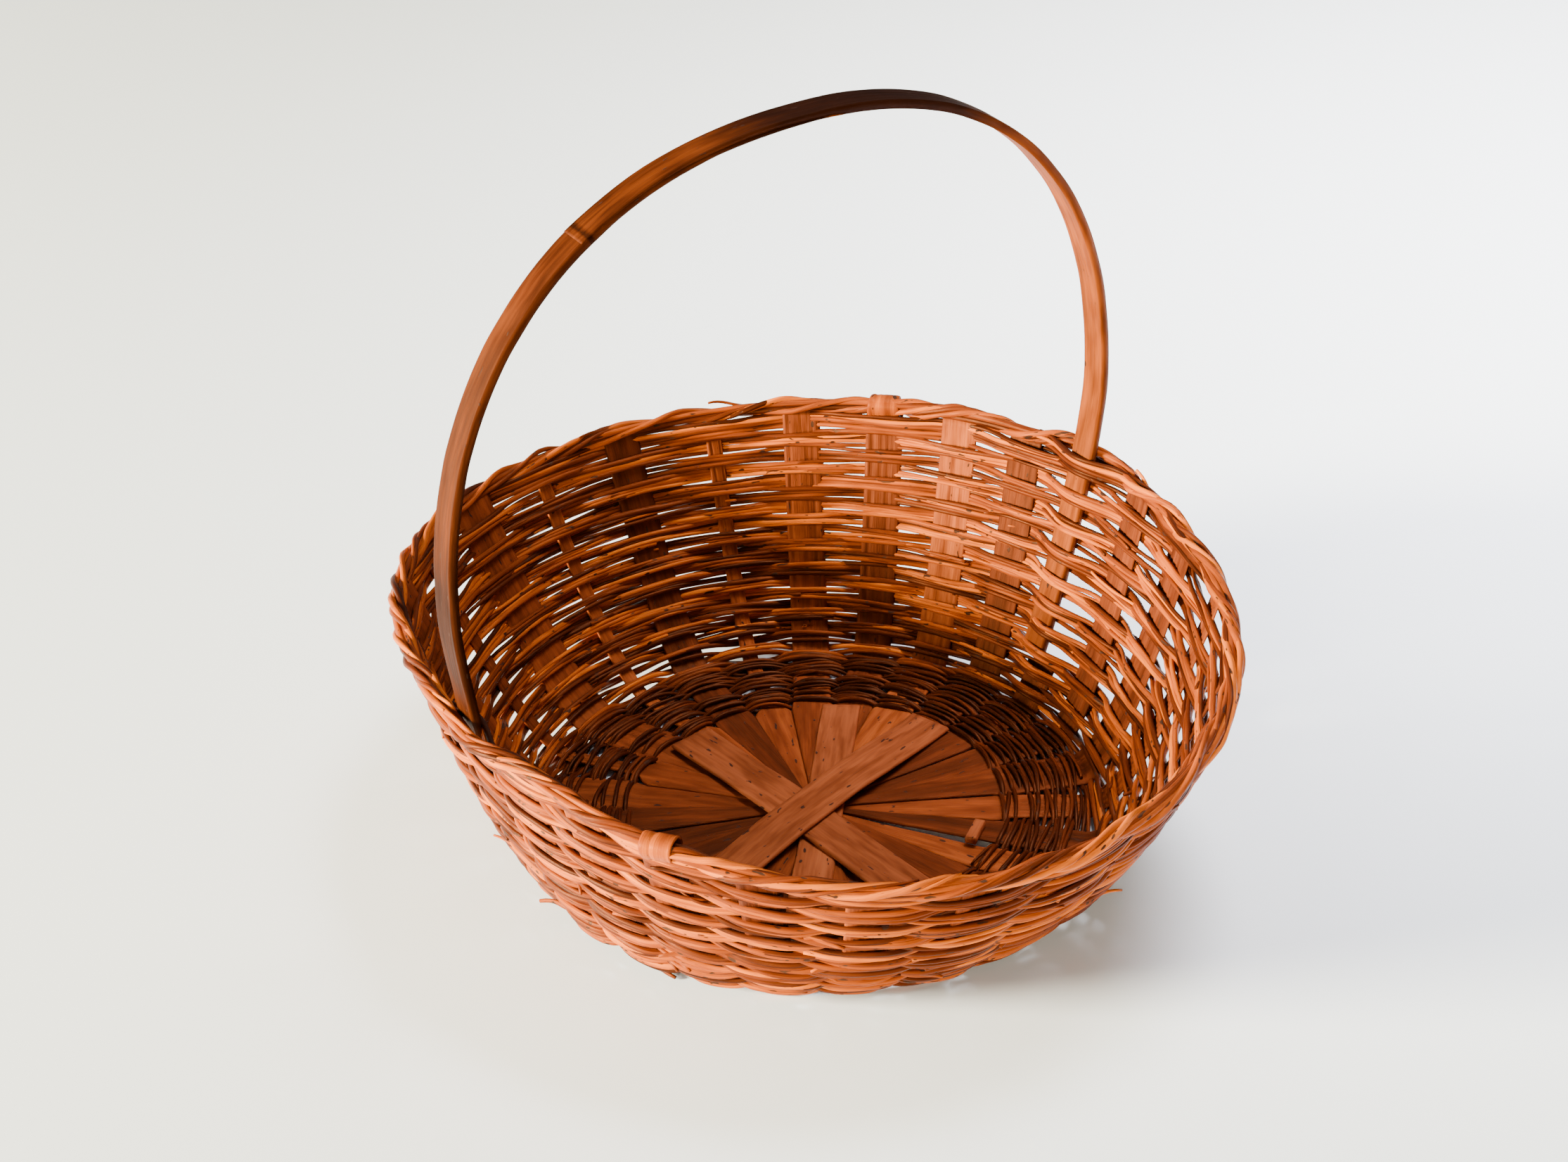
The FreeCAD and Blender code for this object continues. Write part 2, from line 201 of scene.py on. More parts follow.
def wall_rz(angle, share):
    """Radius and height of the wall's middle surface."""
    share = np.maximum(share, 0.0)
    radius = FOOT_RADIUS + (rim_radius(angle) - FOOT_RADIUS) * share ** WALL_BEND
    height = SPOKE_MID_Z + (rim_height(angle) - SPOKE_MID_Z) * share
    return radius, height


def course_share(position):
    """Share of the wall's height at a position in the spiral, counted in courses."""
    place = COURSE_FIRST + (COURSE_LAST - COURSE_FIRST) * position / (COURSE_COUNT - 1)
    return np.maximum(place, 0.0) ** COURSE_SPREAD


def wall_frame(angle, share):
    """Points of the wall's middle surface with its outward normal and its upward tangent."""
    step = 0.01
    low = wall_rz(angle, np.maximum(share - step, 0.0))
    high = wall_rz(angle, share + step)
    run = high[0] - low[0]
    rise = high[1] - low[1]
    size = np.hypot(run, rise)
    run = run / size
    rise = rise / size
    radius, height = wall_rz(angle, share)
    cosine = np.cos(angle)
    sine = np.sin(angle)
    point = np.stack([radius * cosine, radius * sine, height], axis=-1)
    outward = np.stack([rise * cosine, rise * sine, -run], axis=-1)
    upward = np.stack([run * cosine, run * sine, rise], axis=-1)
    return point, outward, upward


def smooth_step(value):
    value = np.clip(value, 0.0, 1.0)
    return value * value * (3.0 - 2.0 * value)


def stake_angle(index):
    return FIRST_STAKE + index * STAKE_PITCH


def stake_width(index):
    if index in NARROW_STAKES:
        return NARROW_WIDTH
    if index in BROAD_STAKES:
        return BROAD_WIDTH
    return SPLINT_WIDTH


# ================================================================ mesh helpers

def wander(rng, where, amount, wavelength):
    """A smooth random wave along a rod, in the unit of amount."""
    total = np.zeros_like(where, dtype=float)
    for term in range(3):
        length = wavelength * (0.6 + 0.8 * rng.random()) / (1.0 + 0.7 * term)
        phase = rng.random() * FULL_TURN
        total += np.sin(where * FULL_TURN / length + phase) / (1.0 + term)
    return total * amount / 1.6


def unit(vectors):
    return vectors / np.maximum(np.linalg.norm(vectors, axis=-1, keepdims=True), 1e-9)


def distance_along(line):
    """The distance from a line's first point to each of its points."""
    steps = np.linalg.norm(np.diff(line, axis=0), axis=1)
    return np.concatenate([[0.0], np.cumsum(steps)])


def tube_faces(rings, corners):
    """Faces between closed rings of points, ring after ring."""
    faces = []
    for ring in range(rings - 1):
        for corner in range(corners):
            beside = (corner + 1) % corners
            start = ring * corners
            faces.append((start + corner, start + beside, start + corners + beside, start + corners + corner))
    return faces


class Batch:
    """The points and faces of one piece, with what its material needs to know at each point.

    grain is the place along and across the rod or strip, and tone a shade, light or dark, of it.
    """

    def __init__(self):
        self.points = []
        self.faces = []
        self.grain = []
        self.tone = []
        self.count = 0

    def add(self, points, faces, grain, tone):
        self.points.append(points)
        self.faces += [tuple(self.count + corner for corner in face) for face in faces]
        self.grain.append(grain)
        self.tone.append(np.broadcast_to(tone, len(points)))
        self.count += len(points)

    def piece(self, name, material, slot, node):
        mesh = bpy.data.meshes.new(name)
        points = np.concatenate(self.points) * MM
        mesh.from_pydata(points.tolist(), [], self.faces)
        mesh.polygons.foreach_set("use_smooth", [True] * len(mesh.polygons))
        grain = mesh.attributes.new("grain", "FLOAT_VECTOR", "POINT")
        grain.data.foreach_set("vector", np.concatenate(self.grain).astype(np.float32).ravel())
        tone = mesh.attributes.new("tone", "FLOAT", "POINT")
        tone.data.foreach_set("value", np.concatenate(self.tone).astype(np.float32))
        mesh.materials.append(material)
        mesh.update()
        thing = bpy.data.objects.new(name, mesh)
        bpy.context.scene.collection.objects.link(thing)
        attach(thing, "root")
        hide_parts(node)


def add_rod(batch, rng, path, outward, radii, tone=None):
    """A thin rod along a path, with one radius for each point of it, and a low point at each end."""
    count = len(path)
    tangent = unit(np.gradient(path, axis=0))
    side = unit(np.cross(tangent, outward))
    normal = np.cross(side, tangent)
    along = distance_along(path)
    around = np.arange(ROD_SIDES) * FULL_TURN / ROD_SIDES
    turn = wander(rng, along, 0.8, 160.0)[:, None] + around[None, :]
    swell = 1.0 + wander(rng, along, 0.05, 55.0)
    oval = 1.0 + ROD_FLATNESS * np.cos(2.0 * turn) + 0.035 * np.cos(3.0 * turn + 1.0)
    reach = (radii * swell)[:, None] * oval
    x = reach * np.cos(around)[None, :]
    y = reach * np.sin(around)[None, :]
    rings = path[:, None, :] + x[..., None] * normal[:, None, :] + y[..., None] * side[:, None, :]
    start = rng.random() * GRAIN_REACH
    grain = np.stack([np.broadcast_to((along + start)[:, None], x.shape), x, y], axis=-1)
    ends = np.stack([path[0] - tangent[0] * radii[0] * 0.3, path[-1] + tangent[-1] * radii[-1] * 0.3])
    end_grain = np.array([[start - END_GRAIN_SHIFT, 0.0, 0.0]] * 2)
    faces = tube_faces(count, ROD_SIDES)
    first_end = count * ROD_SIDES
    last_ring = (count - 1) * ROD_SIDES
    for corner in range(ROD_SIDES):
        beside = (corner + 1) % ROD_SIDES
        faces.append((first_end, beside, corner))
        faces.append((first_end + 1, last_ring + corner, last_ring + beside))
    shade = rng.random() if tone is None else tone
    points = np.concatenate([rings.reshape(-1, 3), ends])
    batch.add(points, faces, np.concatenate([grain.reshape(-1, 3), end_grain]), shade)


def tapered(rng, count, radius, step, blunt=0.55, length=26.0):
    """A rod's radius along its way: thinner towards both ends, and to one end more than the other.

    step is the distance between two points, blunt the share of the radius left at a rod's tip, and
    length how soon it is back to full.
    """
    along = np.arange(count) * step
    butt = 1.0 - (1.0 - blunt * 1.25) * np.exp(-along / (length * 0.6))
    tip = 1.0 - (1.0 - blunt) * np.exp(-along[::-1] / length)
    body = 1.08 - 0.16 * along / max(along[-1], 1.0)
    if rng.random() < 0.5:
        body = body[::-1]
    return radius * np.clip(butt, 0.2, 1.2) * tip * body


def add_strip(batch, rng, line, across, width, thickness, grooves=0, groove_depth=0.0, tone=0.5, edge=0.35):
    """A flat strip with rounded edges.

    line holds its points, across its width direction at each point, width and thickness one number
    for each; tone and groove_depth may vary along it too. Grooves are fine splits that run the
    strip's length and wander a little. edge is how far in from its sides the strip is rounded.
    """
    count = len(line)
    tangent = unit(np.gradient(line, axis=0))
    normal = unit(np.cross(tangent, across))
    along = distance_along(line)
    place = np.linspace(-1.0, 1.0, STRIP_COLUMNS)
    place = np.sign(place) * np.abs(place) ** 0.85
    rows = place[None, :] * width[:, None] / 2.0
    crown = thickness[:, None] / 2.0 * np.clip((1.0 - np.abs(place)[None, :]) / edge * 2.0, 0.0, 1.0) ** 0.5
    cut = np.zeros_like(rows)
    for _ in range(grooves):
        middle = (rng.random() * 1.7 - 0.85) + wander(rng, along, 0.05, 90.0)
        cut += np.exp(-((place[None, :] - middle[:, None]) * width[:, None] / 2.0 / 0.5) ** 2)
    cut = np.minimum(cut, 1.0) * np.broadcast_to(groove_depth, count)[:, None]
    wave = wander(rng, along, 0.12, 60.0)[:, None]
    top = crown - cut + wave
    bottom = -crown + 0.5 * cut + wave
    order = np.concatenate([np.arange(STRIP_COLUMNS), np.arange(STRIP_COLUMNS - 2, 0, -1)])
    is_top = np.concatenate([np.ones(STRIP_COLUMNS, bool), np.zeros(STRIP_COLUMNS - 2, bool)])
    height = np.where(is_top[None, :], top[:, order], bottom[:, order])
    rows = rows[:, order]
    rings = line[:, None, :] + rows[..., None] * across[:, None, :] + height[..., None] * normal[:, None, :]
    start = rng.random() * GRAIN_REACH
    grain = np.stack([np.broadcast_to((along + start)[:, None], rows.shape), rows, height], axis=-1)
    sides = len(order)
    faces = tube_faces(count, sides)
    faces.append(tuple(range(sides - 1, -1, -1)))
    faces.append(tuple((count - 1) * sides + corner for corner in range(sides)))
    tones = np.repeat(np.broadcast_to(tone, count), sides)
    batch.add(rings.reshape(-1, 3), faces, grain.reshape(-1, 3), tones)


# ================================================================ materials

def new_material(name):
    material = bpy.data.materials.new(name)
    material.use_nodes = True
    tree = material.node_tree
    tree.nodes.clear()
    output = tree.nodes.new("ShaderNodeOutputMaterial")
    shader = tree.nodes.new("ShaderNodeBsdfPrincipled")
    tree.links.new(shader.outputs["BSDF"], output.inputs["Surface"])
    return material, tree, shader


def attribute(tree, name, output):
    node = tree.nodes.new("ShaderNodeAttribute")
    node.attribute_name = name
    return node.outputs[output]


def math_node(tree, operation, first, second):
    """second is another node's output or a number."""
    node = tree.nodes.new("ShaderNodeMath")
    node.operation = operation
    tree.links.new(first, node.inputs[0])
    if isinstance(second, float):
        node.inputs[1].default_value = second
    else:
        tree.links.new(second, node.inputs[1])
    return node.outputs[0]


def grain_noise(tree, grain, along, across, detail, roughness):
    """A noise stretched along the grain: along and across are its changes in a millimetre, about."""
    mapping = tree.nodes.new("ShaderNodeMapping")
    mapping.inputs["Scale"].default_value = (along, across, across)
    tree.links.new(grain, mapping.inputs["Vector"])
    node = tree.nodes.new("ShaderNodeTexNoise")
    node.inputs["Scale"].default_value = 1.0
    node.inputs["Detail"].default_value = detail
    node.inputs["Roughness"].default_value = roughness
    tree.links.new(mapping.outputs[0], node.inputs["Vector"])
    return node.outputs["Fac"]


def ramp(tree, factor, stops):
    node = tree.nodes.new("ShaderNodeValToRGB")
    elements = node.color_ramp.elements
    while len(elements) < len(stops):
        elements.new(0.5)
    for element, (position, colour) in zip(elements, stops):
        element.position = position
        element.color = (*colour, 1.0)
    tree.links.new(factor, node.inputs["Fac"])
    return node.outputs["Color"]


def blend_colour(tree, mode, factor, colour, other):
    """Blend a fixed colour into another node's, as far as factor says."""
    node = tree.nodes.new("ShaderNodeMix")
    node.data_type = "RGBA"
    node.blend_type = mode
    tree.links.new(factor, node.inputs[0])
    tree.links.new(colour, node.inputs[6])
    node.inputs[7].default_value = (*other, 1.0)
    return node.outputs[2]


def step_range(tree, value, low, high, start=0.0, finish=1.0):
    node = tree.nodes.new("ShaderNodeMapRange")
    node.interpolation_type = "SMOOTHSTEP"
    node.inputs["From Min"].default_value = low
    node.inputs["From Max"].default_value = high
    node.inputs["To Min"].default_value = start
    node.inputs["To Max"].default_value = finish
    tree.links.new(value, node.inputs["Value"])
    return node.outputs[0]


def bump(tree, shader, height, strength, distance):
    node = tree.nodes.new("ShaderNodeBump")
    node.inputs["Strength"].default_value = strength
    node.inputs["Distance"].default_value = distance
    tree.links.new(height, node.inputs["Height"])
    tree.links.new(node.outputs[0], shader.inputs["Normal"])


def wood_material(name, colours, streak, tone_reach, rough, spots, fibre_depth, shine=0.35):
    """Aged wood with fine fibres along the grain, slow changes of colour and small dark marks.

    streak is how fine the fibres are, tone_reach how far a piece's tone moves its colour, spots the
    level above which the marks begin, so higher means fewer, and fibre_depth is in millimetres.
    """
    material, tree, shader = new_material(name)
    grain = attribute(tree, "grain", "Vector")
    tone = attribute(tree, "tone", "Fac")
    fibres = grain_noise(tree, grain, 0.035, streak, detail=4.0, roughness=0.6)
    slow = grain_noise(tree, grain, 0.012, 0.12, detail=3.0, roughness=0.5)
    patches = grain_noise(tree, grain, 0.05, 0.3, detail=2.0, roughness=0.5)
    shade = math_node(tree, "ADD", math_node(tree, "MULTIPLY", tone, tone_reach),
                      math_node(tree, "MULTIPLY", fibres, 0.42))
    shade = math_node(tree, "ADD", shade, math_node(tree, "MULTIPLY", slow, 0.75))
    shade = math_node(tree, "SUBTRACT", shade, 0.085 + tone_reach / 2.0)
    steps = len(colours) - 1
    stops = [(0.12 + 0.76 * index / steps, colour) for index, colour in enumerate(colours)]
    colour = ramp(tree, shade, stops)
    worn = step_range(tree, patches, 0.30, 0.62, start=0.6, finish=0.0)
    colour = blend_colour(tree, "MULTIPLY", worn, colour, WORN_TINT)
    marks = grain_noise(tree, grain, 0.16, 0.42, detail=1.0, roughness=0.4)
    marks = step_range(tree, marks, spots, spots + 0.035)
    colour = blend_colour(tree, "MIX", marks, colour, DARK_MARK)
    tree.links.new(colour, shader.inputs["Base Color"])
    gloss = math_node(tree, "ADD", math_node(tree, "MULTIPLY", fibres, 0.22), rough - 0.11)
    tree.links.new(gloss, shader.inputs["Roughness"])
    shader.inputs["IOR"].default_value = WOOD_IOR
    shader.inputs["Specular IOR Level"].default_value = shine
    shader.inputs["Specular Tint"].default_value = GLOSS_TINT
    relief = math_node(tree, "SUBTRACT", fibres, math_node(tree, "MULTIPLY", marks, 0.6))
    bump(tree, shader, relief, strength=0.6, distance=fibre_depth * MM)
    return material


def make_materials():
    return {
        "rod": wood_material(
            "peeled_willow_rod", ROD_COLOURS,
            streak=1.6, tone_reach=0.7, rough=0.42, spots=0.69, fibre_depth=0.35, shine=0.4),
        "splint": wood_material(
            "split_stake_wood", SPLINT_COLOURS,
            streak=1.1, tone_reach=0.6, rough=0.55, spots=0.72, fibre_depth=0.5),
        "board": wood_material(
            "base_board_wood", BOARD_COLOURS,
            streak=0.7, tone_reach=0.45, rough=0.52, spots=0.71, fibre_depth=0.4),
        "handle": wood_material(
            "bent_handle_wood", HANDLE_COLOURS,
            streak=0.75, tone_reach=0.5, rough=0.55, spots=0.72, fibre_depth=0.3, shine=0.15),
    }


# ================================================================ the weave of the wall

def handle_nearness(angle, full, none):
    """1 up to full away from a foot of the handle and 0 from none away, both in stake pitches."""
    nearness = np.zeros_like(angle)
    for index in HANDLE_STAKES:
        away = angle - stake_angle(index)
        away = np.abs(np.arctan2(np.sin(away), np.cos(away)))
        nearness = np.maximum(nearness, smooth_step((none - away / STAKE_PITCH) / (none - full)))
    return nearness


def weave_side(angle):
    """-1 inside a stake, +1 outside it, and smooth between.

    The angle counts on from turn to turn, and the odd number of stakes makes the sides change.
    """
    return -np.tanh(1.3 * np.cos(math.pi * (angle - FIRST_STAKE) / STAKE_PITCH)) / math.tanh(1.3)


def looseness(angle, share):
    """Up to 1 in the places where the weave has come loose and its courses have drawn together."""
    loose = np.zeros_like(angle)
    for middle, half_width in LOOSE_PLACES:
        away = angle - math.radians(middle)
        away = np.degrees(np.abs(np.arctan2(np.sin(away), np.cos(away))))
        loose = loose + np.exp(-(away / half_width) ** 2)
    return loose * smooth_step((share - 0.10) / 0.12) * (1.0 - smooth_step((share - 0.60) / 0.20))


def weave_path(rng, start, finish, lane, scatter):
    """The way of one rod of the spiral, between two angles that count on from turn to turn."""
    count = max(int((finish - start) * MEAN_RADIUS / ROD_STEP), 8)
    angle = np.linspace(start, finish, count)
    position = (angle - COURSE_START) / FULL_TURN - 0.5
    share = course_share(position)
    point, outward, upward = wall_frame(angle, share)
    below = wall_rz(angle, course_share(position - 0.5))
    above = wall_rz(angle, course_share(position + 0.5))
    pitch = np.hypot(above[0] - below[0], above[1] - below[1])
    run = angle * MEAN_RADIUS
    side = weave_side(angle + wander(rng, run, 0.035, 200.0))
    near = handle_nearness(angle, 0.0, 0.6)
    bulge = LOW_SWING * np.maximum(side, 0.0) * (1.0 - smooth_step(share / 0.35))
    offset = side * (WEAVE_SWING + HANDLE_SWING * near) - HANDLE_INSET * near + bulge
    offset = offset + wander(rng, run, 0.3, 70.0) + 0.4 * (MIDDLE_LANE - abs(lane - MIDDLE_LANE))
    spread = pitch * (LANE_SPREAD + LANE_FAN * side)
    lateral = (lane - MIDDLE_LANE) * spread
    lateral = lateral + wander(rng, run, 0.5, 130.0) + scatter
    turn = np.floor((angle - COURSE_START) / FULL_TURN)
    lateral = lateral + LOOSE_SHIFT * pitch * np.cos(math.pi * turn) * looseness(angle, share)
    path = point + outward * offset[:, None] + upward * lateral[:, None]
    return path, outward


def bend_end_out(path, outward, lift):
    """Let the last stretch of a rod stand out of the weave by lift, or in where lift is negative."""
    count = max(int(LOOSE_END / ROD_STEP), 3)
    ease = np.linspace(0.0, 1.0, count) ** 2
    path[-count:] = path[-count:] + outward[-count:] * (lift * ease)[:, None]


def add_weaver(rng, batch, start, finish, lane, slim=1.0):
    """One rod of the wall; its ends stand a little in or out of the weave, and a few stick out."""
    path, outward = weave_path(rng, start, finish, lane, rng.normal() * LANE_SCATTER)
    for _ in range(2):
        out = rng.random() < 0.5
        lift = (0.6 + 1.6 * rng.random()) * (1.0 if out else -1.0)
        if rng.random() < STRAY_SHARE:
            lift = lift * STRAY_FACTOR
        bend_end_out(path, outward, lift)
        path = path[::-1].copy()
        outward = outward[::-1]
    path[:, 2] = np.maximum(path[:, 2], LOWEST_ROD)
    radius = slim * ROD_RADIUS * (0.80 + 0.42 * rng.random())
    add_rod(batch, rng, path, outward, tapered(rng, len(path), radius, ROD_STEP))


def course_index(angle):
    """The course that a rod which starts at this angle counts as."""
    return int((angle - COURSE_START) / FULL_TURN)


def make_weave(materials):
    """Rods of random length laid end to end in each lane of one spiral; a piece is one course.

    Two more lanes fill the space between the last course and the border, and short thin rods are
    laid in between.
    """
    rng = np.random.default_rng(11)
    courses = [Batch() for _ in range(COURSE_COUNT)]
    end = COURSE_START + FULL_TURN * COURSE_COUNT
    for lane in range(LANES):
        angle = COURSE_START - rng.random() * 0.2
        if lane == 1:
            angle = COURSE_START + FULL_TURN * CLOSE_COURSES
        while angle < end - 0.2:
            length = ROD_SHORTEST + (ROD_LONGEST - ROD_SHORTEST) * rng.random()
            finish = min(angle + length / MEAN_RADIUS, end)
            add_weaver(rng, courses[course_index(angle)], angle, finish, lane)
            angle = finish - (0.05 + 0.1 * rng.random())
    for lane in (LANES, LANES + 1):
        add_weaver(rng, courses[-1], end - FULL_TURN - 0.2, end - 0.1, lane)
    for _ in range(EXTRA_RODS):
        angle = COURSE_START + FULL_TURN * (2.0 + (COURSE_COUNT - 3.5) * rng.random())
        length = EXTRA_SHORTEST + (EXTRA_LONGEST - EXTRA_SHORTEST) * rng.random()
        finish = angle + length / MEAN_RADIUS
        lane = rng.random() * (LANES - 1)
        add_weaver(rng, courses[course_index(angle)], angle, finish, lane, EXTRA_SLIMNESS)
    for number, batch in enumerate(courses, start=1):
        batch.piece("course_of_rods_%02d" % number, materials["rod"], "rod", "weave_course_%02d" % number)


def make_base_weave(materials):
    """Rods that cross between the spokes, three to a row, round the edge of the base."""
    rng = np.random.default_rng(5)
    batch = Batch()
    for row in range(BASE_ROWS):
        row_radius = BASE_INNER + (BASE_OUTER - BASE_INNER) * (row / (BASE_ROWS - 1)) ** 0.93
        phase = rng.random() * 2.0
        for mate in range(BASE_MATES):
            start = rng.random() * FULL_TURN
            count = int(FULL_TURN * row_radius / BASE_ROD_STEP)
            angle = start + np.linspace(0.0, FULL_TURN * 1.02, count)
            run = angle * row_radius
            place = (angle - FIRST_STAKE) / STAKE_PITCH + mate + row + wander(rng, run, 0.12, 130.0)
            side = np.tanh(1.7 * np.cos(math.pi * place))
            height = SPOKE_MID_Z + np.where(side > 0.0, BASE_OVER, BASE_UNDER) * side
            radius = row_radius + (mate - 1.0) * BASE_MATE_GAP + wander(rng, run, 1.5, 80.0 + 20.0 * phase)
            height = np.maximum(height + wander(rng, run, 0.5, 50.0), BASE_LOWEST)
            path = np.stack([radius * np.cos(angle), radius * np.sin(angle), height], axis=-1)
            upright = np.tile(np.array([0.0, 0.0, 1.0]), (count, 1))
            radii = tapered(rng, count, 1.0 + 0.3 * rng.random(), BASE_ROD_STEP)
            add_rod(batch, rng, path, upright, radii, tone=0.25 * rng.random() - 0.1)
    batch.piece("rods_round_the_base", materials["rod"], "rod", "base_weave")


# ================================================================ the border

def make_border(materials):
    """Long thin rods rolled loosely round one another along the rim, and splints folded over it."""
    rng = np.random.default_rng(23)
    strands = (Batch(), Batch())
    for index in range(BORDER_CORES):
        count = 460
        angle = np.linspace(0.0, FULL_TURN, count) + rng.random() * 6.0
        run = angle * RIM_RADIUS
        turn = FULL_TURN * index / BORDER_CORES + wander(rng, run, 0.6, 400.0)
        add_border_rod(strands[0], rng, angle, np.full(count, BORDER_CORE_OFF), turn, BORDER_CORE_RADIUS)
    for index in range(BORDER_WRAPS):
        begin = FULL_TURN * (index + 0.8 * rng.random()) / BORDER_WRAPS
        reach = FULL_TURN * (0.32 + 0.22 * rng.random())
        count = int(reach * RIM_RADIUS / BORDER_STEP)
        angle = begin + np.linspace(0.0, reach, count)
        run = angle * RIM_RADIUS
        turns = angle * (10.0 + 5.0 * rng.random()) + FULL_TURN * rng.random()
        turn = turns + wander(rng, run, 0.6, 200.0)
        off = BORDER_WRAP_OFF + wander(rng, run, 0.9, 60.0)
        at_end = smooth_step((run - run[-1] + BORDER_END_LENGTH) / BORDER_END_LENGTH)
        off = off + BORDER_END_LIFT * rng.random() * at_end
        add_border_rod(strands[index % 2], rng, angle, off, turn, 1.35 + 0.55 * rng.random())
    for index in FOLDED_STAKES:
        add_folded_stake(strands[1], rng, index)
    strands[0].piece("rim_roll_inner_rods", materials["rod"], "rod", "border_strand_a")
    strands[1].piece("rim_roll_outer_rods", materials["rod"], "rod", "border_strand_b")


def add_border_rod(batch, rng, angle, off, turn, radius):
    """One rod at a distance off the rim's middle line, turned round it."""
    near = handle_nearness(angle, 0.4, 1.1)
    rim_r = rim_radius(angle) * (1.0 - near) + BORDER_AT_HANDLE * near
    radial = rim_r + off * np.cos(turn)
    height = rim_height(angle) + off * np.sin(turn)
    path = np.stack([radial * np.cos(angle), radial * np.sin(angle), height], axis=-1)
    outward = np.stack([np.cos(turn) * np.cos(angle), np.cos(turn) * np.sin(angle), np.sin(turn)], axis=-1)
    radii = tapered(rng, len(path), radius, BORDER_STEP, blunt=0.4, length=40.0)
    add_rod(batch, rng, path, outward, radii)


def add_folded_stake(batch, rng, index):
    """The top of a stake, from inside the rim up over it and down outside."""
    middle = stake_angle(index)
    turn = np.linspace(-0.35 * math.pi, 1.30 * math.pi, 30)[::-1]
    off = FOLD_OFF + 0.4 * np.sin(3.0 * turn)
    radial = float(rim_radius(middle)) + off * np.cos(turn)
    height = float(rim_height(middle)) + off * np.sin(turn)
    line = np.stack([radial * math.cos(middle), radial * math.sin(middle), height], axis=-1)
    across = np.tile(np.array([-math.sin(middle), math.cos(middle), 0.0]), (len(turn), 1))
    width = 0.92 * stake_width(index)
    widths = width * (1.0 - 0.25 * np.linspace(0.0, 1.0, len(turn)))
    add_strip(batch, rng, line, across, widths, np.full(len(turn), 1.1), 4, 0.3, 0.6)


# ================================================================ splints: spokes and stakes

def splint_width(index, radius):
    """A wedge under the base, with a stake's width outside its shoulder."""
    wedge = STAKE_PITCH * radius + SPOKE_OVERLAP
    wedge = wedge * (SHRINKAGE if index in SHRUNK_SPOKES else 1.0)
    narrowing = smooth_step((radius - SPOKE_SHOULDER) / 9.0)
    return wedge * (1.0 - narrowing) + stake_width(index) * narrowing


def make_splints(materials):
    """Each splint is a spoke under the base that turns up and stands in the wall."""
    rng = np.random.default_rng(3)
    upright = np.array([0.0, 0.0, 1.0])
    for index in range(STAKE_COUNT):
        angle = stake_angle(index)
        radial = np.array([math.cos(angle), math.sin(angle), 0.0])
        side = np.array([-math.sin(angle), math.cos(angle), 0.0])
        flat = np.linspace(SPOKE_INNER, SPOKE_OUTER, 34)
        top = SHORT_STAKE_TOP if index in HANDLE_STAKES else STAKE_TOP
        share = top * np.linspace(0.0, 1.0, 44) ** 1.5
        wall_r, wall_z = wall_rz(np.full_like(share, angle), share)
        radius = np.concatenate([flat, wall_r])
        height = np.concatenate([np.full_like(flat, SPOKE_MID_Z), wall_z])
        level = SPOKE_LEVELS[index % len(SPOKE_LEVELS)]
        height = height + level * smooth_step((SPOKE_STEP - radius) / 12.0)
        line = radius[:, None] * radial + height[:, None] * upright
        thickness = SPLINT_THICK - 0.35 * np.linspace(0.0, 1.0, len(radius))
        tilt = rng.normal() * 0.012
        across = unit(side + upright * tilt * smooth_step((SPOKE_STEP - radius) / 20.0)[:, None])
        grooves = 2 if index in NARROW_STAKES else 7
        depth = 0.5 * smooth_step((radius - 96.0) / 12.0)
        splint = Batch()
        widths = splint_width(index, radius)
        add_strip(splint, rng, line, across, widths, thickness, grooves, depth, rng.random())
        node = "stake_%02d" % (index + 1)
        splint.piece("splint_%02d" % (index + 1), materials["splint"], "splint", node)


# ================================================================ braces, cleat

def make_braces(materials):
    """Boards that cross on the spokes: each is stacked on the one before it, and its ends droop."""
    rng = np.random.default_rng(41)
    # name, direction in degrees, distance from the middle, length, width, thickness
    braces = (
        ("base_brace_narrow", 50.0, -5.0, 178.0, 20.0, 1.6),
        ("base_brace_lower", 95.0, 10.5, 178.0, 25.0, 2.4),
        ("base_brace_upper", 16.6, -2.4, 184.0, 25.0, 2.4),
    )
    spokes_top = SPOKE_MID_Z + SPLINT_THICK / 2.0
    low = spokes_top
    settled = 0.2
    for name, direction, offset, length, width, thickness in braces:
        turn = math.radians(direction)
        along = np.array([math.cos(turn), math.sin(turn), 0.0])
        side = np.array([-math.sin(turn), math.cos(turn), 0.0])
        place = np.linspace(-length / 2.0, length / 2.0, 60)
        droop = (low - spokes_top - settled) * smooth_step((np.abs(place) - 18.0) / (length / 2.0 - 22.0))
        line = place[:, None] * along + (offset * side)[None, :]
        line[:, 2] = low + thickness / 2.0 - droop
        across = np.tile(side, (len(place), 1))
        widths = width + wander(rng, place, 0.5, 120.0)
        thicknesses = np.full(len(place), thickness)
        batch = Batch()
        add_strip(batch, rng, line, across, widths, thicknesses, 2, 0.15, 0.45 + 0.3 * rng.random(), 0.2)
        batch.piece("board_" + name, materials["board"], "splint", name)
        low += thickness
    make_cleat(materials, rng)


